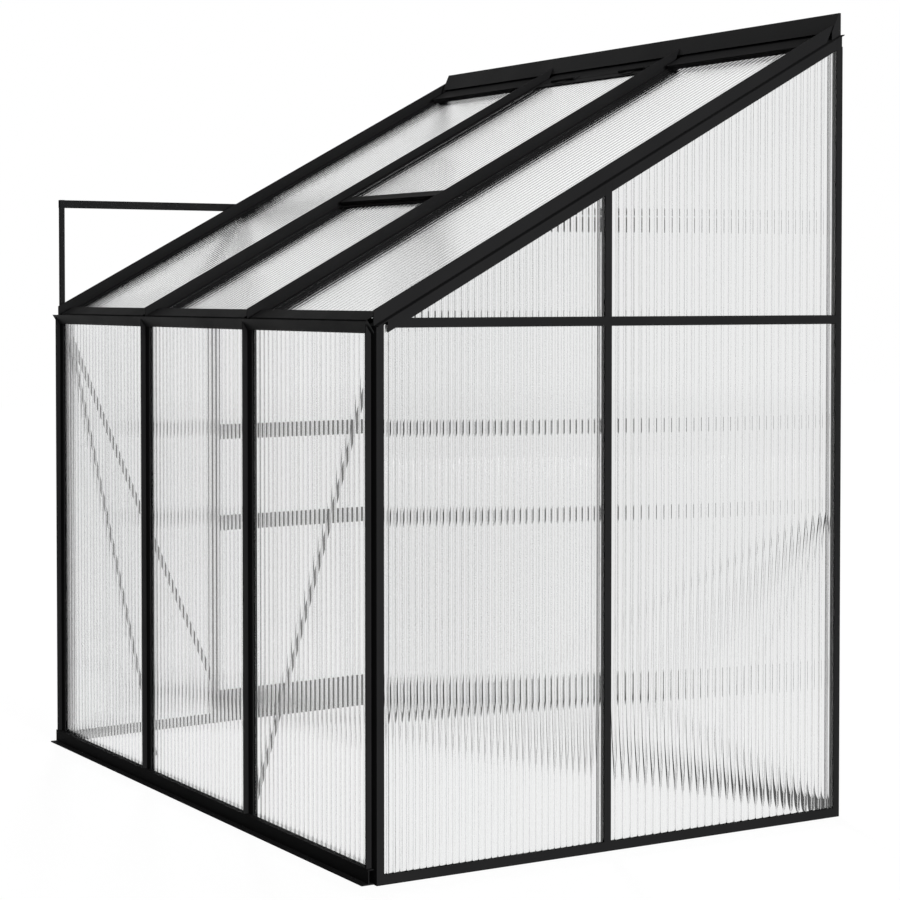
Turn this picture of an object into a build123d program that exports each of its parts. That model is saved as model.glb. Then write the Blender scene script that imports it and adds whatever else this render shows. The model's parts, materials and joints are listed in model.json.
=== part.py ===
from build123d import *
import math
import os

os.makedirs("parts", exist_ok=True)

# Driving sizes of the greenhouse in mm. The plan frame has x = 0 in the middle of the front,
# y = 0 at the front face of the posts, +y towards the house wall and z = 0 on the ground.
bay = 630.0             # spacing of the front posts and of the rafters
bays = 3
corner_reach = 26.5     # fin of a corner post to the outer face of its gable
depth = 1332.0          # front face to house wall
eave_height = 1254.0    # roof plane over the front face
ridge_rise = 719.0      # rise of the roof plane from the front face to the wall
ridge_cap = 47.0        # ridge beam above the roof plane at the wall
mid_post_share = 0.468  # gable mid posts, as a share of the depth

# Sheets, grooves and extrusion walls.
wall = 2.0
sheet = 6.0
sheet_gap = 0.3         # between a sheet and each side of its groove
edge_room = 3.0         # sheet edge to the bottom of its groove
groove = sheet + 2 * sheet_gap
web = 4.0               # half width of the web between two sheets
fit_gap = 0.3           # between neighbouring lengths of the frame
move_gap = 0.4          # between pieces that move past each other
pin_gap = 0.05          # radial, pin in its bore

# Front posts: a fin, a cover lip and a groove on each side, an inner flange and a hollow rib.
fin = 3.0
post_fin = 13.0
post_half = 27.0
post_body = 3.0
post_rib = 20.0
rib_half = 6.0
flange = 2.0
post_back = post_body + groove + flange
gable_leg = 19.0        # visible width of a corner or mid post on the gable
gable_core = 26.5       # depth of a gable post from its outer face inwards
brace_leg = 57.0        # reach of the left corner post's inner leg

# Sills.
sill_floor = 3.0
sill_front = 30.0       # reach of the floor in front of the posts' face
sill_box = 35.0
sill_lip = 25.0
sill_end = 15.5         # front sill ends this far inside the gables
gable_sill = 22.6
gable_floor = 36.5
back_floor = 36.0

# Roof bars, measured square to the roof plane.
roof_fin = 24.4
roof_body = 8.0         # underside of the rafters' cover lips, below the roof plane
rafter_half = 17.0
rafter_leg = 28.0       # hollow leg of a middle rafter, below the sheets
end_fin_out = 12.0      # fin of an end rafter outside the line of the corner post's fin
drip = 9.5              # drip edge of an end rafter beyond the gable face
strip_rise = 5.7        # eave and ridge bars above the roof plane
eave_strip = 41.0
ridge_strip = 70.0
ridge_show = 55.0       # of the ridge bars, in front of the ridge face
sloped_rail = 33.0
rail_h = 22.2           # gable eave rail and door lintel
rail_under = 11.2       # underside of the gable eave rail below the eave height

# Eave beam and gutter.
beam_drop = 24.0        # underside of the beam below the eave height
gutter_out = 17.0
gutter_up = 27.0
ledge_end = 45.0

# Back posts, ridge and wall fixing.
back_leg = 18.0
back_box = 9.0
wall_flange = 34.5
ridge_face = 49.0
ridge_lean = 22.0
ridge_ledge = 30.0
ridge_inset = 7.5       # right end of the ridge inside the gable face
ridge_hole_drop = 40.0  # wall holes below the top of the ridge
wall_hole = 4.0

# Sliding door and its tracks, outside the left gable.
door_track_w = 20.0
door_track_h = 22.5
door_t = 16.0
door_bottom = 16.0
door_end = 10.0         # back edge of the door in front of the wall
door_travel = 580.0
stile_w = 30.0
door_bar_h = 45.0
door_foot_h = 70.0
door_groove = 8.0
wheel_r = 7.0
wheel_w = 4.3
axle_r = 2.5
hanger_t = 4.0
track_slot = 8.0
track_start = 13.0
track_set = 7.0         # head track starts this far behind its post's front
track_post = 14.0
hanger_inset = 70.0     # hangers in from the edges of the door
handle_reach = 35.0
handle_r = 6.0
handle_len = 140.0

# Roof vent in the middle bay.
vent_share = 0.447      # vent crossbar, as a share of the slope length
vent_side_gap = 2.0
vent_bar = 14.0
vent_top_bar = 25.0
vent_foot = 30.0
hinge_r = 3.5
hinge_pin_r = 2.0
stay_len = 240.0
stay_w = 12.0
stay_t = 3.0
stay_pin_r = 3.0

# Wind braces and their screws.
brace_w = 18.0
brace_t = 2.0
front_brace_drop = 25.0
gable_brace_drop = 35.0
screw_r = 2.4
screw_head_r = 5.0
screw_head = 3.0
screw_gap = 0.1

# Values worked out from the sizes above.
half = bays * bay / 2 + corner_reach
slope = math.atan2(ridge_rise, depth)
sin_s, cos_s, tan_s = math.sin(slope), math.cos(slope), math.tan(slope)
slope_len = depth / cos_s
ridge_top = eave_height + ridge_rise + ridge_cap
corner_fin = bays * bay / 2
inner_lines = [bay * (i - bays / 2) for i in range(1, bays)]
mid_post = depth * mid_post_share
beam_low = eave_height - beam_drop
gable_out = half - wall
gable_in = gable_out - groove
gable_back = gable_in - flange
post_in = half - gable_core
sheet_out = gable_out - sheet_gap
sheet_in = sheet_out - sheet
roof_groove = roof_body + groove
roof_under = roof_groove + flange
back_front = depth - back_leg
rib_back = post_back + post_rib
door_x = -half - drip - wall - door_track_w / 2
track_low = eave_height + (mid_post + gable_leg / 2) * tan_s - 24.0
far = 4000.0
overrun = bay / 3       # spare length that a later cut takes off

handle_x = door_x - door_t / 2 - handle_reach
box_x = (handle_x, half + drip)
box_y = (-sill_front, depth)
shift = (-(box_x[0] + box_x[1]) / 2, -(box_y[0] + box_y[1]) / 2, 0)

roof_place = Location(Plane(origin=(0, 0, eave_height), x_dir=(1, 0, 0), z_dir=(0, -sin_s, cos_s)))


def block(x0, x1, y0, y1, z0, z1):
    low = (Align.MIN, Align.MIN, Align.MIN)
    return Pos(x0, y0, z0) * Box(x1 - x0, y1 - y0, z1 - z0, align=low)


def joined(shapes):
    whole = shapes[0]
    for shape in shapes[1:]:
        whole = whole + shape
    return whole


def upright(rects, z0, z1):
    return joined([block(x0, x1, y0, y1, z0, z1) for x0, x1, y0, y1 in rects])


def prism(points, x0, x1):
    """A (y, z) outline drawn out along x."""
    face = make_face(Polyline(*[(0, y, z) for y, z in points], close=True))
    return Pos(x0, 0, 0) * extrude(face, amount=x1 - x0, dir=(1, 0, 0))


def roof_block(x0, x1, s0, s1, n0, n1):
    """A block in the roof frame: s up the slope, n square to the roof."""
    return roof_place * block(x0, x1, s0, s1, n0, n1)


def roof_bar(rects, s0, s1):
    return roof_place * joined([block(x0, x1, s0, s1, n0, n1) for x0, x1, n0, n1 in rects])


def roof_z(y, n):
    return eave_height + y * tan_s + n / cos_s


def roof_s(y, n):
    return (y + n * sin_s) / cos_s


def under_roof(n):
    return roof_block(-far, far, -far, far, -far, n)


def between(y0, y1):
    return block(-far, far, y0, y1, -far, far)


def mirrored(shape):
    return mirror(shape, about=Plane.YZ)


def save(node, shapes):
    placed = [shape.moved(Location(shift)) for shape in shapes]
    whole = placed[0] if len(placed) == 1 else Compound(children=placed)
    export_step(whole, f"parts/{node}.step")


def cyl_x(x0, x1, y, z, r):
    return Pos((x0 + x1) / 2, y, z) * Rot(0, 90, 0) * Cylinder(r, x1 - x0)


def cyl_y(x, y0, y1, z, r):
    return Pos(x, (y0 + y1) / 2, z) * Rot(90, 0, 0) * Cylinder(r, y1 - y0)


def cyl_z(x, y, z0, z1, r):
    return Pos(x, y, (z0 + z1) / 2) * Cylinder(r, z1 - z0)


# Where each brace is screwed: the two hole centres, in the plane of the brace.
front_brace = ((post_in - 18, beam_low - front_brace_drop), (inner_lines[-1], 75.0))
gable_brace = ((brace_leg - 12, beam_low - gable_brace_drop), (mid_post, 90.0))
back_brace = ((half - 17.5, 0.614 * eave_height), (-88.0, 20.0))

# Base. The front sill carries a hollow box in front of the posts and lips for the sheets between them.
front_len = half - sill_end
anchor_x = bay
front_sill = [block(-half, half, 0, sill_front, 0, sill_floor),
              block(-front_len, front_len, -sill_front, 0, 0, sill_floor),
              block(-front_len, front_len, -post_fin, wall - post_fin, 0, sill_box),
              block(-front_len, front_len, -post_fin, 0, sill_box - wall, sill_box)]
clear_edges = [-corner_fin] + inner_lines + [corner_fin]
for left, right in zip(clear_edges[:-1], clear_edges[1:]):
    x0 = left + post_half + fit_gap
    x1 = right - post_half - fit_gap
    front_sill.append(block(x0, x1, -wall, post_body, sill_box - wall, sill_box))
    front_sill.append(block(x0, x1, post_body - wall, post_body, 0, sill_box))
    front_sill.append(block(x0, x1, post_back - flange, post_back, 0, sill_lip))
front_sill = joined(front_sill)
for x in (-anchor_x, anchor_x):
    front_sill = front_sill - cyl_z(x, -(sill_front + post_fin) / 2, -1, sill_floor + 1, wall_hole)
save("base_front_sill", [front_sill])

floor_in = half - gable_floor
back_sill = block(-floor_in, floor_in, depth - back_floor, depth, 0, sill_floor)
back_sill = back_sill + block(-floor_in, floor_in, depth - wall, depth, 0, sill_box)
back_sill = back_sill - cyl_y(back_brace[1][0], depth - 2 * wall, depth + wall, back_brace[1][1],
                              screw_r + screw_gap)
save("base_back_sill", [back_sill])

mid_y0 = mid_post - gable_leg / 2
mid_y1 = mid_post + gable_leg / 2


def gable_wall_strips(y0, y1):
    low = sill_floor if y0 < sill_front else 0
    return [block(gable_out, half, y0, y1, low, gable_sill),
            block(gable_back, gable_in, y0, y1, low, gable_sill)]


sill_plate = block(floor_in, half, sill_front, depth, 0, sill_floor)
front_strips = gable_wall_strips(gable_leg, sill_front) + gable_wall_strips(sill_front, mid_y0)
back_strips = gable_wall_strips(mid_y1, back_front)
save("base_right_sill", [joined([sill_plate] + front_strips + back_strips)])
save("base_left_sill", [mirrored(joined([sill_plate] + front_strips))])


# Uprights. The fin of a front post is cut to the slope of the gutter.
def fin_prism(x):
    rise = (post_fin * gutter_up / gutter_out)
    outline = [(0.5, sill_box), (-post_fin, sill_box), (-post_fin, beam_low + rise - 0.4),
               (0, beam_low - 0.4), (0.5, beam_low - 0.4)]
    return prism(outline, x - fin / 2, x + fin / 2)


def screw_hole_y(x, z, y):
    return cyl_y(x, y - 6, y + 6, z, screw_r + screw_gap)


def front_post(x):
    rects = [(x - post_half, x + post_half, 0, post_body),
             (x - web, x + web, post_body, post_back),
             (x - post_half, x + post_half, post_back - flange, post_back),
             (x - rib_half, x + rib_half, post_back - flange, rib_back)]
    post = upright(rects, sill_floor, beam_low)
    post = post - block(x - rib_half + wall, x + rib_half - wall, post_back, rib_back - wall, -1, far)
    return post + fin_prism(x)


right_post = front_post(inner_lines[-1])
right_post = right_post - screw_hole_y(front_brace[1][0], front_brace[1][1], rib_back)
save("front_post_right", [right_post])
save("front_post_left", [mirrored(right_post)])

corner_rects = [(corner_fin - post_half, half, 0, post_body),
                (post_in, half, post_body, gable_leg),
                (corner_fin - post_half, post_in, post_back - flange, post_back),
                (post_in, post_in + wall, gable_leg - wall, rib_back),
                (corner_fin - post_half, post_in + wall, rib_back - wall, rib_back)]
corner = upright(corner_rects, sill_floor, beam_low)
corner_top = block(gable_back - 0.6, half, 0, gable_leg, beam_low, far) & under_roof(-roof_body)
corner = corner + corner_top
corner = corner - block(post_in + wall, gable_back - 3, wall, gable_leg - wall, -1, far)
corner = corner - block(gable_in, gable_out, gable_leg - 9, gable_leg + 1, -1, far)
corner = corner + fin_prism(corner_fin)
corner = corner - screw_hole_y(front_brace[0][0], front_brace[0][1], rib_back)
save("corner_post_right", [corner])
corner = corner + block(post_in, post_in + wall, rib_back - wall, brace_leg, sill_floor, beam_low)
corner = corner - cyl_x(post_in - brace_t, post_in + 2 * wall, gable_brace[0][0], gable_brace[0][1],
                        screw_r + screw_gap)
save("corner_post_left", [mirrored(corner)])

mid_slot = 7.0
post = upright([(post_in, half, mid_y0, mid_y1)], sill_floor, far)
post = post - block(gable_in, gable_out, mid_y0 - 1, mid_y0 + mid_slot, -1, far)
post = post - block(gable_in, gable_out, mid_y1 - mid_slot, mid_y1 + 1, -1, far)
post = post - block(post_in + wall, gable_in - wall, mid_y0 + wall, mid_y1 - wall, -1, far)
inner_part = post & block(-far, gable_back - 0.6, -far, far, -far, far) & under_roof(-roof_under)
outer_part = post & block(gable_back - 0.6, far, -far, far, -far, far) & under_roof(-roof_body)
post = inner_part + outer_part
save("gable_post_right", [post])
post = post - cyl_x(post_in - brace_t, post_in + 2 * wall, gable_brace[1][0], gable_brace[1][1],
                    screw_r + screw_gap)
save("door_jamb_post", [mirrored(post)])

back_y = back_front + back_box
post = upright([(post_in, half, back_front, back_y), (gable_out, half, back_front, depth),
                (half - wall_flange, half, depth - wall, depth)], sill_floor, far)
post = post - block(gable_in, gable_out, back_front - 1, back_y - wall, -1, far)
low_part = post & under_roof(-sloped_rail)
high_part = post & block(gable_back - 0.6, far, -far, depth - wall, -far, far)
high_part = high_part & under_roof(-roof_body)
post = low_part + high_part
wall_x = half - wall_flange / 2
wall_z = (300.0, 1700.0)
for z in wall_z:
    post = post - cyl_y(wall_x, depth - 2 * wall, depth + wall, z, wall_hole)
save("back_post_left", [mirrored(post)])
post = post - cyl_y(back_brace[0][0], depth - 2 * wall, depth + wall, back_brace[0][1],
                    screw_r + screw_gap)
save("back_post_right", [post])

# Eave beam: a gutter, a groove over the front sheets and a ledge under the roof sheets.
beam_half = gable_back - 1.0
inner_y = post_back - flange
eave_beam = [
    prism([(0, beam_low), (-gutter_out, beam_low + gutter_up),
           (wall + 0.4 - gutter_out, beam_low + gutter_up), (wall + 0.4, beam_low)],
          -beam_half, beam_half),
    block(-beam_half, beam_half, 0.5, post_body, beam_low, beam_low + wall),
    prism([(post_body - wall, beam_low), (post_body, beam_low),
           (post_body, roof_z(post_body, -roof_body - 1)),
           (post_body - wall, roof_z(post_body - wall, -roof_body - 1))], -beam_half, beam_half),
    prism([(post_body - wall, roof_z(post_body - wall, -roof_body - wall)),
           (post_back, roof_z(post_back, -roof_body - wall)),
           (post_back, roof_z(post_back, -roof_body)),
           (post_body - wall, roof_z(post_body - wall, -roof_body))], -beam_half, beam_half),
    prism([(inner_y, beam_low), (post_back, beam_low),
           (post_back, roof_z(post_back, -roof_body - 1)),
           (inner_y, roof_z(inner_y, -roof_body - 1))], -beam_half, beam_half),
    prism([(inner_y + 0.5, roof_z(inner_y + 0.5, -roof_under)),
           (ledge_end, roof_z(ledge_end, -roof_under)),
           (ledge_end, roof_z(ledge_end, -roof_groove)),
           (inner_y + 0.5, roof_z(inner_y + 0.5, -roof_groove))], -beam_half, beam_half)]
save("eave_gutter", [joined(eave_beam)])


# Gable rails. A flat rail is an H on its side; a sloped rail is a channel open downwards.
def flat_rail(y0, y1, z0):
    mid = z0 + rail_h / 2
    return joined([block(gable_out, half, y0, y1, z0, z0 + rail_h),
                   block(gable_back, gable_in, y0, y1, z0, z0 + rail_h),
                   block(gable_in, gable_out, y0, y1, mid - wall, mid + wall)])


rail_z = eave_height - rail_under
front_rail = flat_rail(gable_leg, mid_y0, rail_z) & under_roof(-sloped_rail)
front_rail = front_rail - block(-far, far, -far, gable_leg + 1, -far, far)
back_rail = flat_rail(mid_y1, back_front, rail_z)
save("gable_eave_rails", [front_rail, back_rail, mirrored(front_rail)])
lintel_z = track_low - 28.7
save("door_lintel", [mirrored(flat_rail(mid_y1, back_front, lintel_z) & under_roof(-sloped_rail))])

rail_rects = [(gable_out, half, -sloped_rail, -roof_body),
              (gable_back, gable_in, -sloped_rail, -roof_body),
              (gable_back, half, -roof_body - wall, -roof_body)]
long_rail = roof_bar(rail_rects, -overrun, slope_len + overrun)
rail_front = long_rail & between(gable_leg + 10, mid_y0 - fit_gap)
rail_back = long_rail & between(mid_y1 + fit_gap, back_front - fit_gap)
save("gable_sloped_rails", [rail_front, rail_back, mirrored(rail_front), mirrored(rail_back)])

# Roof. Rafters end plumb over the front face and at the wall. Their fins end at the ridge face, but
# the fin of the left end rafter passes the end of the ridge.
face_top = (depth - 3 * wall, ridge_top)
face_low = (depth - 3 * wall - ridge_lean, ridge_top - ridge_face)
lean = ridge_lean / ridge_face
behind_face = prism([(face_low[0] - overrun * lean - fit_gap, face_low[1] - overrun),
                     (face_top[0] + overrun * lean - fit_gap, face_top[1] + overrun),
                     (far, face_top[1] + overrun), (far, face_low[1] - overrun)], -far, far)
roof_run = between(0, depth - wall - fit_gap)
under_start = roof_s(ledge_end + 1, -roof_body)
run_end = slope_len + overrun
lip_top = wall - roof_body
ledge_y = depth - ridge_ledge


def mid_rafter(x):
    lips = roof_bar([(x - rafter_half, x + rafter_half, -roof_body, lip_top)], -overrun, run_end)
    under = roof_bar([(x - web, x + web, -roof_under, -roof_body),
                      (x - rafter_half, x + rafter_half, -roof_under, -roof_groove)],
                     under_start, run_end)
    leg_low = -roof_groove - rafter_leg
    leg = roof_bar([(x - rafter_half, x + rafter_half, leg_low, -roof_groove)], under_start, run_end)
    leg = leg - roof_bar([(x - rafter_half + wall, x + rafter_half - wall, leg_low + wall, -roof_under)],
                         0, run_end + overrun)
    leg = leg & between(0, ledge_y - fit_gap)
    blade = roof_bar([(x - fin / 2, x + fin / 2, -roof_body, roof_fin)], -overrun, run_end) - behind_face
    return (lips + under + leg + blade) & roof_run


right_rafter = mid_rafter(inner_lines[-1])
save("mid_rafter_right", [right_rafter])
save("mid_rafter_left", [mirrored(right_rafter)])

end_in = corner_fin - rafter_half
end_web = post_in + 5
end_fin = corner_fin + end_fin_out
cover = roof_bar([(end_in, half + drip, -roof_body, lip_top)], -overrun, run_end)
under = roof_bar([(end_web, end_web + web, -roof_under, -roof_body),
                  (end_in, end_web + web, -roof_under, -roof_groove)], under_start, run_end)
blade = roof_bar([(end_fin - fin / 2, end_fin + fin / 2, -roof_body, roof_fin)], -overrun, run_end)
save("end_rafter_right", [(cover + under + (blade - behind_face)) & roof_run])
save("end_rafter_left", [mirrored((cover + under + blade) & roof_run)])

ridge_x0 = -corner_fin
ridge_x1 = half - ridge_inset
ledge_half = post_in - 0.5
ledge_low = -roof_under - 2 * wall
ridge_hole_z = ridge_top - ridge_hole_drop
ridge = [
    prism([(depth - wall, roof_z(depth - wall, -sloped_rail)), (depth, roof_z(depth, -sloped_rail)),
           (depth, ridge_top), (depth - wall, ridge_top)], ridge_x0, ridge_x1),
    block(ridge_x0, ridge_x1, face_top[0], depth, ridge_top - wall, ridge_top),
    prism([face_top, face_low, (face_low[0] + wall, face_low[1]), (face_top[0] + wall, face_top[1])],
          ridge_x0, ridge_x1),
    prism([(ledge_y, roof_z(ledge_y, ledge_low)), (depth, roof_z(depth, ledge_low)),
           (depth, roof_z(depth, -roof_under)), (ledge_y, roof_z(ledge_y, -roof_under))],
          -ledge_half, ledge_half)]
cap_n = lip_top + fit_gap
end_cap = [face_top, face_low, (face_low[0], roof_z(face_low[0], cap_n)), (depth, roof_z(depth, cap_n)),
           (depth, ridge_top)]
for x0 in (ridge_x0, ridge_x1 - wall):
    ridge.append(prism(end_cap, x0, x0 + wall))
ridge = joined(ridge)
for x in (-bay, bay):
    ridge = ridge - cyl_y(x, depth - 4, depth + 4, ridge_hole_z, wall_hole)
save("ridge_beam", [ridge])

# Bars that clip the sheets between the rafters at the eave, at the ridge and under the vent.
edge_lines = [-end_in] + [x + k * rafter_half for x in inner_lines for k in (-1, 1)] + [end_in]
roof_bays = [(edge_lines[2 * i] + fit_gap, edge_lines[2 * i + 1] - fit_gap) for i in range(bays)]
strip_top = strip_rise
eave_s1 = roof_s(0, strip_top) + eave_strip
ridge_s0 = roof_s(face_low[0], strip_top) - ridge_show
ridge_s1 = ridge_s0 + ridge_strip


def eave_bar(x0, x1):
    bar = roof_block(x0, x1, -overrun, eave_s1, -roof_body, strip_top) & between(0, far)
    hollow = roof_block(x0 - 1, x1 + 1, -overrun, eave_s1 - wall, -roof_body - 1, strip_top - wall)
    return bar - (hollow & between(wall, far))


def ridge_bar(x0, x1):
    bar = roof_block(x0, x1, ridge_s0, ridge_s1, -roof_body, strip_top)
    hollow = roof_block(x0 - 1, x1 + 1, ridge_s0 + wall, ridge_s1 - wall, -roof_body - 1,
                        strip_top - wall)
    return bar - hollow


save("roof_eave_bars", [eave_bar(x0, x1) for x0, x1 in roof_bays])
vent_bay = bays // 2
save("roof_ridge_bars", [ridge_bar(x0, x1) for i, (x0, x1) in enumerate(roof_bays) if i != vent_bay])

vent_x0, vent_x1 = roof_bays[vent_bay]
cross_s = vent_share * slope_len
slot_reach = rafter_half - web
crossbar = [
    block(vent_x0, vent_x1, cross_s - 18, cross_s + 22, -roof_under, -roof_groove),
    block(vent_x0 - slot_reach, vent_x1 + slot_reach, cross_s, cross_s + 4, -roof_groove, -roof_body),
    block(vent_x0, vent_x1, cross_s - 18, cross_s + 4, -roof_body, wall - roof_body)]
save("vent_crossbar", [roof_place * joined(crossbar)])

# Sheets.
front_z0 = sill_floor + sheet_gap
front_z1 = roof_z(post_body, -roof_body - wall) - edge_room
sheet_y = (post_body + sheet_gap, post_body + sheet_gap + sheet)
line_edges = [-post_in + edge_room]
for x in inner_lines:
    line_edges += [x - web - edge_room, x + web + edge_room]
line_edges += [post_in - edge_room]
names = ["left", "middle", "right"]
for i, side in enumerate(names):
    plate = block(line_edges[2 * i], line_edges[2 * i + 1], sheet_y[0], sheet_y[1], front_z0, front_z1)
    save(f"front_panel_{side}", [plate])

slot_front = gable_leg - 9 + edge_room
slot_mid0 = mid_y0 + mid_slot - edge_room
slot_mid1 = mid_y1 - mid_slot + edge_room
slot_back = back_y - wall - edge_room
low_top = rail_z + rail_h / 2 - wall - edge_room
high_low = rail_z + rail_h / 2 + wall + sheet_gap
rail_top_n = -roof_body - wall - edge_room


def gable_sheet(points):
    return prism(points, sheet_in, sheet_out)


tip = (high_low - roof_z(0, rail_top_n)) / tan_s + 15
front_low = gable_sheet([(slot_front, front_z0), (slot_mid0, front_z0), (slot_mid0, low_top),
                         (slot_front, low_top)]) & under_roof(rail_top_n)
front_high = gable_sheet([(tip, high_low), (slot_mid0, high_low),
                          (slot_mid0, roof_z(slot_mid0, rail_top_n)), (tip, roof_z(tip, rail_top_n))])
back_low = gable_sheet([(slot_mid1, front_z0), (slot_back, front_z0), (slot_back, low_top),
                        (slot_mid1, low_top)])


def back_high(z):
    return gable_sheet([(slot_mid1, z), (slot_back, z), (slot_back, roof_z(slot_back, rail_top_n)),
                        (slot_mid1, roof_z(slot_mid1, rail_top_n))])


save("right_panel_front", [front_low])
save("right_panel_back", [back_low])
save("right_panel_top_front", [front_high])
save("right_panel_top_back", [back_high(high_low)])
save("left_panel_front", [mirrored(front_low)])
save("left_panel_top_front", [mirrored(front_high)])
over_door = back_high(lintel_z + rail_h / 2 + wall + sheet_gap)
save("left_panel_over_door", [mirrored(over_door)])

roof_n = (-roof_groove + sheet_gap, -roof_body - sheet_gap)
roof_s0 = roof_s(post_back + edge_room, roof_n[1])
roof_s1 = roof_s(depth - wall - edge_room, roof_n[0])
roof_edges = [-end_web + edge_room] + line_edges[1:-1] + [end_web - edge_room]
for i, side in enumerate(names):
    upper = cross_s - edge_room if i == vent_bay else roof_s1
    plate = roof_block(roof_edges[2 * i], roof_edges[2 * i + 1], roof_s0, upper, roof_n[0], roof_n[1])
    save(f"roof_panel_{side}", [plate])

# Roof vent. The frame lies between the rafters and laps the crossbar; its top rail turns on pins.
vx0 = vent_x0 - fit_gap + vent_side_gap
vx1 = vent_x1 + fit_gap - vent_side_gap
vent_s0 = cross_s - 10
vent_s1 = vent_s0 + vent_foot
vent_end = ridge_s0 - vent_side_gap
vent_n0 = lip_top + fit_gap
vent_groove = (-groove / 2, groove / 2)
pin_s = ridge_s0 - vent_side_gap / 2
pin_n = strip_top + move_gap + hinge_r
leaf = 20.0
knuckle = 40.0
hinge_x = 0.58 * vx1

vent_inset = vent_bar - 6
foot_bar = block(vx0, vx1, vent_s0, vent_s1, vent_n0, strip_top)
foot_bar = foot_bar - block(vx0 + vent_inset - edge_room, vx1 - vent_inset + edge_room,
                            vent_s1 - 8, vent_s1 + 1, vent_groove[0], vent_groove[1])
stay_x = -stay_len / 2 + 10
stay_s = cross_s + 6 + stay_w / 2
stay_n1 = vent_n0 - move_gap
stay_n0 = stay_n1 - stay_t
stud = cyl_z(stay_x, stay_s, stay_n0 - move_gap, vent_n0 + 1, stay_pin_r)
stud = stud + cyl_z(stay_x, stay_s, stay_n0 - move_gap - 2, stay_n0 - move_gap, stay_pin_r + 2)
save("vent_bottom_rail", [roof_place * (foot_bar + stud)])

head_bar = block(vx0, vx1, vent_end - vent_top_bar, vent_end, vent_n0, strip_top)
head_bar = head_bar - block(vx0 + vent_inset - edge_room, vx1 - vent_inset + edge_room,
                            vent_end - vent_top_bar - 1, vent_end - vent_top_bar + 8,
                            vent_groove[0], vent_groove[1])
fixed_leaves = []
for x in (-hinge_x, hinge_x):
    lobe = block(x - knuckle / 2, x + knuckle / 2, pin_s - leaf, pin_s, strip_top, strip_top + wall)
    lobe = lobe + cyl_x(x - knuckle / 2, x + knuckle / 2, pin_s, pin_n, hinge_r)
    lobe = lobe - cyl_x(x - knuckle, x + knuckle, pin_s, pin_n, hinge_pin_r + pin_gap)
    head_bar = head_bar + lobe
    pieces = [cyl_x(x - knuckle * 1.5, x + knuckle * 1.5, pin_s, pin_n, hinge_pin_r)]
    for side in (-1, 1):
        x0, x1 = sorted((x + side * (knuckle / 2 + move_gap), x + side * knuckle * 1.5))
        pieces.append(cyl_x(x0, x1, pin_s, pin_n, hinge_r))
        pieces.append(block(x0, x1, pin_s + 1, pin_s + leaf, strip_top, strip_top + wall))
    fixed_leaves.append(joined(pieces))
save("vent_top_rail", [roof_place * head_bar])
save("vent_hinge_leaves", [roof_place * shape for shape in fixed_leaves])
save("vent_hinge_bar", [ridge_bar(vent_x0, vent_x1)])

side_bar = block(vx1 - vent_bar, vx1, vent_s1, vent_end - vent_top_bar, vent_n0, strip_top)
side_bar = side_bar - block(vx1 - vent_bar - 1, vx1 - vent_bar + 8, vent_s1 - 1,
                            vent_end - vent_top_bar + 1, vent_groove[0], vent_groove[1])
side_bar = roof_place * side_bar
save("vent_side_rails", [side_bar, mirrored(side_bar)])
vent_sheet = roof_block(vx0 + vent_bar - 7, vx1 - vent_bar + 7, vent_s1 - 7,
                        vent_end - vent_top_bar + 7, vent_groove[0] + sheet_gap,
                        vent_groove[1] - sheet_gap)
save("vent_panel", [vent_sheet])

arm = block(stay_x, stay_x + stay_len, stay_s - stay_w / 2, stay_s + stay_w / 2, stay_n0, stay_n1)
for x in (stay_x, stay_x + stay_len):
    arm = arm + cyl_z(x, stay_s, stay_n0, stay_n1, stay_w / 2)
arm = arm - cyl_z(stay_x, stay_s, stay_n0 - 1, stay_n1 + 1, stay_pin_r + pin_gap)
for k in range(1, 5):
    arm = arm - cyl_z(stay_x + stay_len * k / 4, stay_s, stay_n0 - 1, stay_n1 + 1, stay_pin_r)
save("vent_stay", [roof_place * arm])

# Sliding door. Wheels run on the two lips of a C-shaped head track outside the left gable.
track_x0 = door_x - door_track_w / 2
track_x1 = door_x + door_track_w / 2
track_top = track_low + door_track_h
track = block(track_x0, track_x1, track_start + track_set, depth, track_low, track_top)
track = track - block(track_x0 + wall, track_x1 - wall, -far, far, track_low + wall, track_top - wall)
track = track - block(door_x - track_slot / 2, door_x + track_slot / 2, -far, far, track_low - 1,
                      track_low + wall + 1)
save("door_track", [track])

post_y1 = track_start + track_post
save("door_track_post",
     [prism([(track_start, roof_z(track_start, lip_top)), (post_y1, roof_z(post_y1, lip_top)),
             (post_y1, track_top), (track_start, track_top)], track_x1, -half)])
off_top = roof_z(mid_y0 + 2, -roof_body) - 1.5
save("door_track_standoffs",
     [block(track_x1, -half, mid_y0 + 2, mid_y1 - 2, track_low, off_top),
      block(track_x1, -half, back_front + 3, depth - 4, track_low, track_top)])

bottom_track = [block(track_x0, -half, track_start, depth, 0, wall),
                block(track_x0, track_x0 + wall, track_start, depth, 0, door_bottom - wall),
                block(track_x1 - wall, track_x1, track_start, depth, 0, door_bottom - wall)]
save("door_bottom_track", [joined(bottom_track)])

door_y0 = mid_y0 - 2
door_y1 = depth - door_end
door_z1 = track_low - 9.5
dx0 = door_x - door_t / 2
dx1 = door_x + door_t / 2
gx0 = door_x - groove / 2
gx1 = door_x + groove / 2
bar_y0 = door_y0 + stile_w
bar_y1 = door_y1 - stile_w


def stile(y0, inward):
    piece = block(dx0, dx1, y0, y0 + stile_w, door_bottom, door_z1)
    inner = y0 + stile_w if inward > 0 else y0
    cut = sorted((inner - inward * door_groove, inner + inward))
    piece = piece - block(gx0, gx1, cut[0], cut[1], door_bottom - 1, door_z1 + 1)
    outer = y0 if inward > 0 else y0 + stile_w
    core = sorted((outer + inward * wall, inner - inward * (door_groove + wall)))
    return piece - block(dx0 + wall, dx1 - wall, core[0], core[1], door_bottom - 1, door_z1 + 1)


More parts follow.
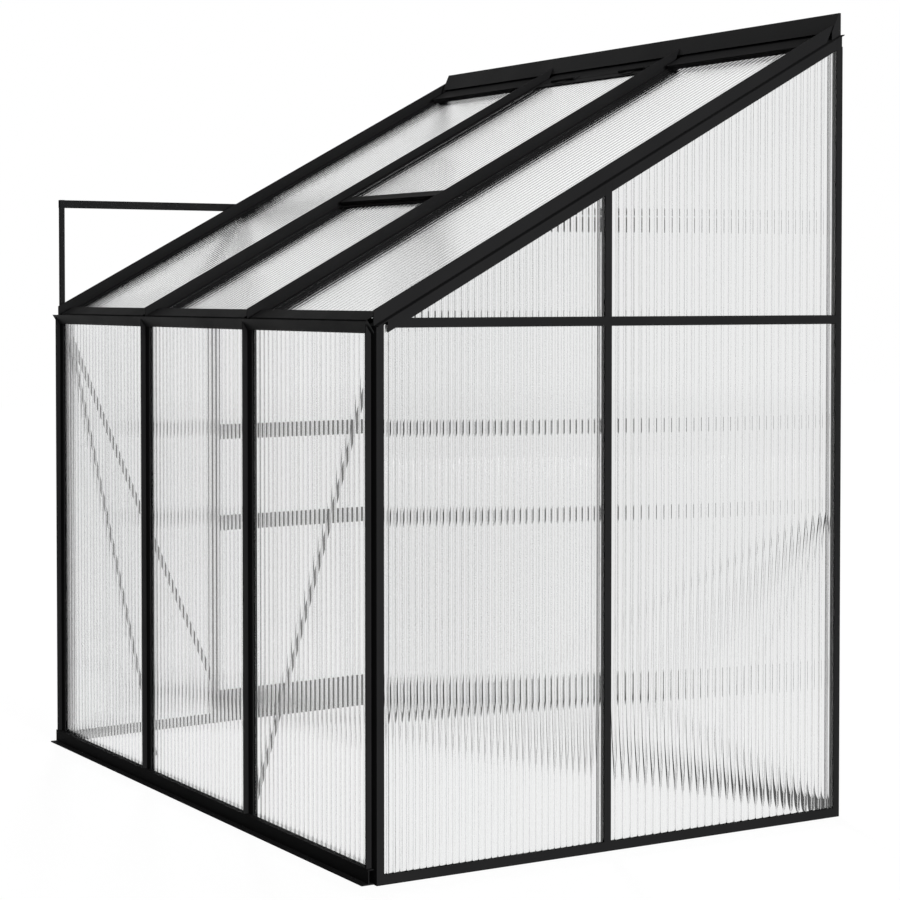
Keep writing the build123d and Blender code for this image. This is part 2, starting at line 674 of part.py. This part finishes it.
save("door_stiles", [stile(door_y0, 1), stile(bar_y1, -1)])
bar_spans = [(door_bottom, door_bottom + door_foot_h)]
for share in (0.383, 0.566):
    centre = door_bottom + share * (door_z1 - door_bottom)
    bar_spans.append((centre - door_bar_h / 2, centre + door_bar_h / 2))
bar_spans.append((door_z1 - door_bar_h, door_z1))
door_bars = []
for i, (z0, z1) in enumerate(bar_spans):
    bar = block(dx0, dx1, bar_y0, bar_y1, z0, z1)
    if i > 0:
        bar = bar - block(gx0, gx1, bar_y0 - 1, bar_y1 + 1, z0 - 1, z0 + door_groove)
    if i < len(bar_spans) - 1:
        bar = bar - block(gx0, gx1, bar_y0 - 1, bar_y1 + 1, z1 - door_groove, z1 + 1)
    core = door_groove + wall
    bar = bar - block(dx0 + wall, dx1 - wall, bar_y0 - 1, bar_y1 + 1, z0 + core, z1 - core)
    door_bars.append(bar)
save("door_bars", door_bars)
lap = door_groove - 1
door_sheets = []
for low, high in zip(bar_spans[:-1], bar_spans[1:]):
    door_sheets.append(block(gx0 + sheet_gap, gx1 - sheet_gap, bar_y0 - lap, bar_y1 + lap,
                             low[1] - lap, high[0] + lap))
save("door_panels", door_sheets)

wheel_z = track_low + wall + move_gap + wheel_r
hanger_len = 60.0
hanger_ys = (door_y0 + hanger_inset, door_y1 - hanger_inset)
hangers = []
wheel_sets = []
for y in hanger_ys:
    plate = block(door_x - 6, door_x + 6, y - hanger_len / 2, y + hanger_len / 2, door_z1, door_z1 + 3)
    plate = plate + block(door_x - hanger_t / 2, door_x + hanger_t / 2, y - 15, y + 15,
                          door_z1, wheel_z + wheel_r)
    hangers.append(plate - cyl_x(door_x - far, door_x + far, y, wheel_z, axle_r + pin_gap))
    reach = hanger_t / 2 + 1 + wheel_w
    spin = cyl_x(door_x - reach, door_x + reach, y, wheel_z, axle_r)
    for side in (-1, 1):
        x0, x1 = sorted((door_x + side * (hanger_t / 2 + 1), door_x + side * reach))
        spin = spin + cyl_x(x0, x1, y, wheel_z, wheel_r)
    wheel_sets.append(spin)
save("door_hangers", hangers)
save("door_front_roller", [wheel_sets[0]])
save("door_back_roller", [wheel_sets[1]])

glide_half = door_track_w / 2 - wall - 0.5
save("door_glides", [block(door_x - glide_half, door_x + glide_half, y - 30, y + 30, wall + 1,
                           door_bottom) for y in hanger_ys])

handle_y = door_y1 - stile_w / 2
handle_z = (bar_spans[1][1] + bar_spans[2][0]) / 2
grip_x = handle_x + handle_r
handle = cyl_z(grip_x, handle_y, handle_z - handle_len / 2, handle_z + handle_len / 2, handle_r)
for side in (-1, 1):
    z = handle_z + side * (handle_len / 2 - 12)
    handle = handle + cyl_x(grip_x, dx0, handle_y, z, handle_r - 1)
save("door_handle", [handle])


# Wind braces, each screwed flat against the inner faces of the frame.
def flat_brace(a, b):
    """A flat bar in the xz plane between two hole centres, its back on y = 0."""
    run = math.hypot(b[0] - a[0], b[1] - a[1])
    turn = -math.degrees(math.atan2(b[1] - a[1], b[0] - a[0]))
    bar = Box(run + 20, brace_t, brace_w)
    for x in (-run / 2, run / 2):
        bar = bar - cyl_y(x, -far, far, 0, screw_r + screw_gap)
    return Pos((a[0] + b[0]) / 2, brace_t / 2, (a[1] + b[1]) / 2) * Rot(0, turn, 0) * bar


def screw(x, z):
    """A screw whose head lies on y = brace_t and whose shank reaches y = -flange."""
    return cyl_y(x, -flange, brace_t + 0.5, z, screw_r) + cyl_y(x, brace_t, brace_t + screw_head, z,
                                                               screw_head_r)


turned = Rot(0, 0, 180)
inside_front = Pos(0, rib_back, 0)
inside_back = Pos(0, depth - wall, 0) * turned
to_gable = Pos(-post_in, 0, 0) * Rot(0, 0, -90)
right_brace = inside_front * flat_brace(*front_brace)
gable_pts = [(-y, z) for y, z in gable_brace]
back_pts = [(-x, z) for x, z in back_brace]
save("wind_braces", [right_brace, mirrored(right_brace), to_gable * flat_brace(*gable_pts),
                     inside_back * flat_brace(*back_pts)])
screws = [inside_front * screw(x, z) for x, z in front_brace]
screws += [mirrored(shape) for shape in screws]
screws += [to_gable * screw(x, z) for x, z in gable_pts]
screws += [inside_back * screw(x, z) for x, z in back_pts]
save("brace_screws", screws)
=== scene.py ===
import json
import math

import bpy
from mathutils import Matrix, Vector


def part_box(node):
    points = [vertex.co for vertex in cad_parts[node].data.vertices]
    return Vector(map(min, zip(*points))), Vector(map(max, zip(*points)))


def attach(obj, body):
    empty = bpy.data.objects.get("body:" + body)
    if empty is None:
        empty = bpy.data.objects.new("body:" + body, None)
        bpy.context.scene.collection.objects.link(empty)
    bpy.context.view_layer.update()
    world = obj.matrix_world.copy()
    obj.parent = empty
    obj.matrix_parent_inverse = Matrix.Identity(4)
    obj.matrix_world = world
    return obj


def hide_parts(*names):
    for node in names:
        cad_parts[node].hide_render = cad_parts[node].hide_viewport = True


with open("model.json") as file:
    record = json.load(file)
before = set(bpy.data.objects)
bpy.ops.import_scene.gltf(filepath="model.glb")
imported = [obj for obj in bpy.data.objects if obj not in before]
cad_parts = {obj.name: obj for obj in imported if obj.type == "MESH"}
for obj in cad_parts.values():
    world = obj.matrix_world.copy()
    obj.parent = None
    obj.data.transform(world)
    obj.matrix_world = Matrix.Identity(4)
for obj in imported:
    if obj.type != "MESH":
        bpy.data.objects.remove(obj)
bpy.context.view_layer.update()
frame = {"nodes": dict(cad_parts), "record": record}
nodes = frame["nodes"]

# Studio camera. The photograph was taken from the front right at chest height with a long lens.
# Part of the tilt is taken out by shifting the picture down, which keeps the posts upright.
camera_tilt = math.radians(88.341)
camera_turn = math.radians(59.222)
camera_data = bpy.data.cameras.new("studio_camera")
camera_data.sensor_width = 36.0
camera_data.lens = 91.394
camera_data.shift_y = -0.10
camera_data.clip_end = 60.0
camera = bpy.data.objects.new("studio_camera", camera_data)
camera.location = (5.4206, -3.0951, 1.3182)
camera.rotation_euler = (camera_tilt, 0, camera_turn)
bpy.context.scene.collection.objects.link(camera)
bpy.context.scene.camera = camera

# Studio floor and light. A pale floor fades into a white room. A large soft lamp hangs overhead, a
# tall strip stands far to the right, and a narrow beam comes from the left behind; the front faces
# are left in their own shade.
floor_size = 40
mix_share, mix_from, mix_to = 0, 2, 3  # sockets of a Mix node for numbers
scene = bpy.context.scene
scene.view_settings.view_transform = "Standard"
bpy.ops.object.select_all(action="DESELECT")
bpy.ops.mesh.primitive_plane_add(size=floor_size, location=(0, 0, 0))
floor = bpy.context.object
floor.name = "studio_floor"


def plain_tree(tree):
    tree.nodes.clear()
    return tree.nodes, tree.links


def level_by_ray(shader_nodes, links, sheet_level, other_level):
    """Brightness off metal or through a sheet, and for the rest; mix_to is what the camera sees."""
    path = shader_nodes.new("ShaderNodeLightPath")
    bent = shader_nodes.new("ShaderNodeMath")
    bent.operation = "MAXIMUM"
    links.new(path.outputs["Is Transmission Ray"], bent.inputs[0])
    links.new(path.outputs["Is Glossy Ray"], bent.inputs[1])
    softer = shader_nodes.new("ShaderNodeMix")
    softer.inputs[mix_from].default_value = other_level
    softer.inputs[mix_to].default_value = sheet_level
    links.new(bent.outputs[0], softer.inputs[mix_share])
    level = shader_nodes.new("ShaderNodeMix")
    links.new(path.outputs["Is Camera Ray"], level.inputs[mix_share])
    links.new(softer.outputs[0], level.inputs[mix_from])
    return level


floor_paint = bpy.data.materials.new("studio_floor_paint")
floor_paint.use_nodes = True
shader_nodes, links = plain_tree(floor_paint.node_tree)
out = shader_nodes.new("ShaderNodeOutputMaterial")
both = shader_nodes.new("ShaderNodeAddShader")
matte = shader_nodes.new("ShaderNodeBsdfDiffuse")
matte.inputs["Color"].default_value = (0.1, 0.1, 0.1, 1)
glow = shader_nodes.new("ShaderNodeEmission")
glow.inputs["Color"].default_value = (1, 1, 1, 1)
floor_level = level_by_ray(shader_nodes, links, sheet_level=0.81, other_level=0.0)
coords = shader_nodes.new("ShaderNodeTexCoord")
reach = shader_nodes.new("ShaderNodeVectorMath")
reach.operation = "LENGTH"
links.new(coords.outputs["Object"], reach.inputs[0])
fade = shader_nodes.new("ShaderNodeMapRange")
fade.inputs["From Min"].default_value = 1.2
fade.inputs["From Max"].default_value = 3.5
fade.inputs["To Min"].default_value = 0.95
fade.inputs["To Max"].default_value = 1.0
links.new(reach.outputs["Value"], fade.inputs["Value"])
links.new(fade.outputs["Result"], floor_level.inputs[mix_to])
links.new(floor_level.outputs[0], glow.inputs["Strength"])
links.new(matte.outputs[0], both.inputs[0])
links.new(glow.outputs[0], both.inputs[1])
links.new(both.outputs[0], out.inputs["Surface"])
floor.data.materials.append(floor_paint)

room = bpy.data.worlds.new("white_room")
scene.world = room
room.use_nodes = True
shader_nodes, links = plain_tree(room.node_tree)
out = shader_nodes.new("ShaderNodeOutputWorld")
back = shader_nodes.new("ShaderNodeBackground")
back.inputs["Color"].default_value = (1, 1, 1, 1)
room_level = level_by_ray(shader_nodes, links, sheet_level=0.85, other_level=0.03)
room_level.inputs[mix_to].default_value = 1.0
links.new(room_level.outputs[0], back.inputs["Strength"])
links.new(back.outputs[0], out.inputs["Surface"])


def soft_lamp(name, place, aim, wide, tall, watts, beam=180):
    lamp_data = bpy.data.lights.new(name, "AREA")
    lamp_data.shape = "RECTANGLE"
    lamp_data.size = wide
    lamp_data.size_y = tall
    lamp_data.energy = watts
    lamp_data.spread = math.radians(beam)
    lamp = bpy.data.objects.new(name, lamp_data)
    lamp.location = place
    lamp.rotation_euler = (Vector(aim) - Vector(place)).to_track_quat("-Z", "Y").to_euler()
    lamp.visible_camera = False
    lamp.visible_transmission = False
    lamp.visible_glossy = False
    scene.collection.objects.link(lamp)


soft_lamp("overhead_softbox", place=(0.8, 0.3, 5.5), aim=(0, 0, 0),
          wide=4.0, tall=4.0, watts=45)
soft_lamp("right_softbox", place=(14.0, -1.3, 2.2), aim=(0, -0.6, 0.9),
          wide=1.2, tall=4.0, watts=1800)
soft_lamp("left_softbox", place=(-12.0, 5.0, 3.5), aim=(0, 0, 1.0),
          wide=2.0, tall=2.0, watts=60, beam=25)

# Aluminium frame. Sills, posts, rails, rafters, tracks and door frame are extruded lengths, cut,
# drilled and powder coated black; the coat has a fine satin grain.
grain_depth = 0.0002
tone_from, tone_to, tone_out = 6, 7, 2  # sockets of a Mix node for colours
powder_grain = bpy.data.node_groups.new("powder_grain", "ShaderNodeTree")
powder_grain.interface.new_socket("Grain", in_out="INPUT", socket_type="NodeSocketFloat")
powder_grain.interface.new_socket("Height", in_out="OUTPUT", socket_type="NodeSocketFloat")
powder_grain.interface.new_socket("Patches", in_out="OUTPUT", socket_type="NodeSocketFloat")
grain_in = powder_grain.nodes.new("NodeGroupInput")
grain_out = powder_grain.nodes.new("NodeGroupOutput")
coords = powder_grain.nodes.new("ShaderNodeTexCoord")
fine = powder_grain.nodes.new("ShaderNodeTexNoise")
fine.inputs["Detail"].default_value = 2.0
broad = powder_grain.nodes.new("ShaderNodeTexNoise")
broad.inputs["Scale"].default_value = 6.0
broad.inputs["Detail"].default_value = 3.0
powder_grain.links.new(coords.outputs["Object"], fine.inputs["Vector"])
powder_grain.links.new(coords.outputs["Object"], broad.inputs["Vector"])
powder_grain.links.new(grain_in.outputs["Grain"], fine.inputs["Scale"])
powder_grain.links.new(fine.outputs[0], grain_out.inputs["Height"])
powder_grain.links.new(broad.outputs[0], grain_out.inputs["Patches"])


def coated(name, dark, light, rough_low, rough_high, grain, bump, metallic, specular):
    """A solid finish whose colour and gloss drift a little over the surface."""
    made = bpy.data.materials.new(name)
    made.use_nodes = True
    shader_nodes, links = made.node_tree.nodes, made.node_tree.links
    body = shader_nodes["Principled BSDF"]
    body.inputs["Metallic"].default_value = metallic
    body.inputs["Specular IOR Level"].default_value = specular
    pattern = shader_nodes.new("ShaderNodeGroup")
    pattern.node_tree = powder_grain
    pattern.inputs["Grain"].default_value = grain
    tone = shader_nodes.new("ShaderNodeMix")
    tone.data_type = "RGBA"
    tone.inputs[tone_from].default_value = (*dark, 1)
    tone.inputs[tone_to].default_value = (*light, 1)
    links.new(pattern.outputs["Patches"], tone.inputs[mix_share])
    links.new(tone.outputs[tone_out], body.inputs["Base Color"])
    gloss = shader_nodes.new("ShaderNodeMapRange")
    gloss.inputs["From Min"].default_value = 0.3
    gloss.inputs["From Max"].default_value = 0.7
    gloss.inputs["To Min"].default_value = rough_low
    gloss.inputs["To Max"].default_value = rough_high
    links.new(pattern.outputs["Patches"], gloss.inputs["Value"])
    links.new(gloss.outputs["Result"], body.inputs["Roughness"])
    relief = shader_nodes.new("ShaderNodeBump")
    relief.inputs["Strength"].default_value = bump
    relief.inputs["Distance"].default_value = grain_depth
    links.new(pattern.outputs["Height"], relief.inputs["Height"])
    links.new(relief.outputs["Normal"], body.inputs["Normal"])
    return made


def finish_node(name, material):
    mesh = nodes[name].data
    mesh.materials.clear()
    mesh.materials.append(material)


black_powder = dict(dark=(0.015, 0.015, 0.0155), light=(0.022, 0.022, 0.0225), rough_low=0.40,
                    rough_high=0.52, grain=2200.0, bump=0.25, metallic=0.0)
black_coat = coated("black_powder_coat", **black_powder, specular=0.005)
black_lengths = [entry["node"] for entry in frame["record"]["subparts"]
                 if entry["material_slot"] == "frame"]
for name in black_lengths:
    finish_node(name, black_coat)

# Gutter and ridge. They are extruded lengths along the eave and along the house wall, fixed to the
# rafters; the same black coat lies smoother on them, so they shine a little more at a low angle.
gutter_coat = coated("black_gutter_coat", **black_powder, specular=0.036)
for name in ("eave_gutter", "ridge_beam"):
    finish_node(name, gutter_coat)

# Brace screws and vent stay. They are small steel pieces inside the frame, turned or stamped and
# then zinc plated; the screws hold the braces, and the stay hangs on a pin under the vent.
zinc = coated("zinc_plate", dark=(0.42, 0.43, 0.44), light=(0.55, 0.55, 0.56), rough_low=0.28,
              rough_high=0.42, grain=900.0, bump=0.1, metallic=1.0, specular=0.5)
for name in ("brace_screws", "vent_stay"):
    finish_node(name, zinc)

# Door wheels and glides. They are moulded in black nylon with a dull skin; the wheels turn on axles
# in the door's hangers, and the glides guide the foot of the door in the bottom track.
nylon = coated("moulded_nylon", dark=(0.018, 0.018, 0.019), light=(0.03, 0.03, 0.031),
               rough_low=0.5, rough_high=0.65, grain=1400.0, bump=0.2, metallic=0.0, specular=0.4)
for name in ("door_front_roller", "door_back_roller", "door_glides"):
    finish_node(name, nylon)

# Clear sheet. It is extruded polycarbonate with upright flutes, cut to each bay and slid into the
# grooves of the frame; the flutes bend what is seen through them into short dashes.
sheet_thick = 0.006
narrow_land = 0.05  # flat part between two flutes, as a share of their spacing
flute_brink = math.radians(18)
flute_steps = 12
smooth_angle = math.radians(30)
x_axis, y_axis, z_axis = Vector((1, 0, 0)), Vector((0, 1, 0)), Vector((0, 0, 1))

clear_sheet = bpy.data.materials.new("clear_fluted_sheet")
clear_sheet.use_nodes = True
shader_nodes, links = clear_sheet.node_tree.nodes, clear_sheet.node_tree.links
body = shader_nodes["Principled BSDF"]
body.inputs["Transmission Weight"].default_value = 1.0
body.inputs["IOR"].default_value = 1.585
body.inputs["Metallic"].default_value = 0.0
coords = shader_nodes.new("ShaderNodeTexCoord")
drift = shader_nodes.new("ShaderNodeTexNoise")
drift.inputs["Scale"].default_value = 9.0
links.new(coords.outputs["Object"], drift.inputs["Vector"])
tint = shader_nodes.new("ShaderNodeMix")
tint.data_type = "RGBA"
tint.inputs[tone_from].default_value = (0.975, 0.98, 0.98, 1)
tint.inputs[tone_to].default_value = (0.985, 0.99, 0.99, 1)
links.new(drift.outputs[0], tint.inputs[mix_share])
links.new(tint.outputs[tone_out], body.inputs["Base Color"])
haze = shader_nodes.new("ShaderNodeMapRange")
haze.inputs["To Min"].default_value = 0.004
haze.inputs["To Max"].default_value = 0.012
links.new(drift.outputs[0], haze.inputs["Value"])
links.new(haze.outputs["Result"], body.inputs["Roughness"])
path = shader_nodes.new("ShaderNodeLightPath")
pass_light = shader_nodes.new("ShaderNodeBsdfTransparent")
pass_light.inputs["Color"].default_value = (0.88, 0.89, 0.89, 1)
either = shader_nodes.new("ShaderNodeMixShader")
links.new(path.outputs["Is Shadow Ray"], either.inputs[0])
links.new(body.outputs[0], either.inputs[1])
links.new(pass_light.outputs[0], either.inputs[2])
links.new(either.outputs[0], shader_nodes["Material Output"].inputs["Surface"])


def fluted_plate(name, start, across, along, through, wide, long, pitch, flute_depth, flute_land,
                 lean=0.0):
    """A plate from start outwards, with hollow flutes in each face; inner lands may lean."""
    flutes = max(1, round(wide / pitch))
    columns = flutes * flute_steps
    bpy.ops.object.select_all(action="DESELECT")
    bpy.ops.mesh.primitive_grid_add(x_subdivisions=columns, y_subdivisions=1, size=1)
    plate = bpy.context.object
    plate.name = name
    bpy.ops.object.mode_set(mode="EDIT")
    bpy.ops.mesh.select_all(action="SELECT")
    bpy.ops.mesh.extrude_region_move(TRANSFORM_OT_translate={"value": (0, 0, 1)})
    bpy.ops.object.mode_set(mode="OBJECT")
    hollow = 1 - flute_land
    for vert in plate.data.vertices:
        outer_face = vert.co.z > 0.5
        flute, step = divmod(round((vert.co.x + 0.5) * columns), flute_steps)
        share = (step - 1) / (flute_steps - 2) if step else 0
        turn = flute_brink + (math.pi - 2 * flute_brink) * share
        spot = 0.5 - 0.5 * math.cos(turn) / math.cos(flute_brink)
        spot = flute + spot * hollow + flute_land / 2 * (step > 0)
        dip = (math.sin(turn) - math.sin(flute_brink)) / (1 - math.sin(flute_brink))
        dip *= flute_depth if outer_face else -flute_depth
        if not outer_face:
            dip -= lean * (share if step else 0.5)
        vert.co = (start + across * (spot / flutes * wide) + along * ((vert.co.y + 0.5) * long)
                   + through * (vert.co.z * sheet_thick - dip))
    plate.location = (0, 0, 0)
    return plate


def finish_sheet(plate, body_name, *stands_for):
    bpy.ops.object.mode_set(mode="EDIT")
    bpy.ops.mesh.select_all(action="SELECT")
    bpy.ops.mesh.normals_make_consistent(inside=False)
    bpy.ops.object.mode_set(mode="OBJECT")
    bpy.ops.object.shade_smooth_by_angle(angle=smooth_angle)
    plate.data.materials.append(clear_sheet)
    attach(plate, body_name)
    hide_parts(*stands_for)


# Front sheets. Three pieces of clear sheet stand between the front posts, from sill to eave. Their
# lands are wide and flat, and lean a little inside, which turns the view through them sideways.
front_pitch = 0.0232
front_flute = 0.0020
wide_land = 0.57
land_lean = 0.00061
for side in ("left", "middle", "right"):
    low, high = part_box(f"front_panel_{side}")
    plate = fluted_plate(f"front_sheet_{side}", Vector((low.x, high.y, low.z)), x_axis, z_axis,
                         -y_axis, high.x - low.x, high.z - low.z, front_pitch, front_flute,
                         wide_land, land_lean)
    finish_sheet(plate, "frame", f"front_panel_{side}")

# Gable sheets. Clear sheet fills both ends between sill, posts and rails; the upper pieces and the
# one over the door are sawn off along the slope of the roof.
gable_front_pitch = 0.0174
gable_back_pitch = 0.0221
gable_flute = 0.0025
roof_rise, roof_run = 0.719, 1.332
roof_slope = math.atan2(roof_rise, roof_run)
off_roof = Vector((0, -math.sin(roof_slope), math.cos(roof_slope)))


def trim_to_roof(corner):
    bpy.ops.object.mode_set(mode="EDIT")
    bpy.ops.mesh.select_all(action="SELECT")
    bpy.ops.mesh.bisect(plane_co=corner, plane_no=off_roof, use_fill=True, clear_outer=True)
    bpy.ops.object.mode_set(mode="OBJECT")


for place in ("right_panel_front", "right_panel_back", "right_panel_top_front",
              "right_panel_top_back", "left_panel_front", "left_panel_top_front",
              "left_panel_over_door"):
    low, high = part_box(place)
    if place.startswith("right"):
        start, through = Vector((low.x, low.y, low.z)), x_axis
    else:
        start, through = Vector((high.x, low.y, low.z)), -x_axis
    pitch = gable_front_pitch if "front" in place else gable_back_pitch
    plate = fluted_plate(place.replace("panel", "sheet"), start, y_axis, z_axis, through,
                         high.y - low.y, high.z - low.z, pitch, gable_flute, narrow_land)
    if "top" in place or "over" in place:
        trim_to_roof(high)
    finish_sheet(plate, "frame", place)

# Roof and vent sheets. Clear sheet lies between the rafters from eave to ridge, with shallow flutes
# down the slope; the middle bay has a short sheet below and the vent's own sheet above.
roof_pitch = 0.022
roof_flute = 0.00018
up_slope = Vector((0, math.cos(roof_slope), math.sin(roof_slope)))
for place, carrier in (("roof_panel_left", "frame"), ("roof_panel_middle", "frame"),
                       ("roof_panel_right", "frame"), ("vent_panel", "vent")):
    low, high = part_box(place)
    length = (high.y - low.y - sheet_thick * math.sin(roof_slope)) / math.cos(roof_slope)
    start = Vector((low.x, low.y + sheet_thick * math.sin(roof_slope), low.z))
    plate = fluted_plate(place.replace("panel", "sheet"), start, x_axis, up_slope, off_roof,
                         high.x - low.x, length, roof_pitch, roof_flute, narrow_land)
    finish_sheet(plate, carrier, place)

# Door sheets. Three pieces of clear sheet sit in the grooves of the door's stiles, one above the
# other with a bar between; each is as high as its solid in the CAD.
door_pitch = 0.022
low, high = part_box("door_panels")
heights = sorted({round(v.co.z, 4) for v in nodes["door_panels"].data.vertices})
for number, (bottom, top) in enumerate(zip(heights[0::2], heights[1::2]), start=1):
    plate = fluted_plate(f"door_sheet_{number}", Vector((high.x, low.y, bottom)), y_axis, z_axis,
                         -x_axis, high.y - low.y, top - bottom, door_pitch, gable_flute,
                         narrow_land)
    finish_sheet(plate, "door", "door_panels")
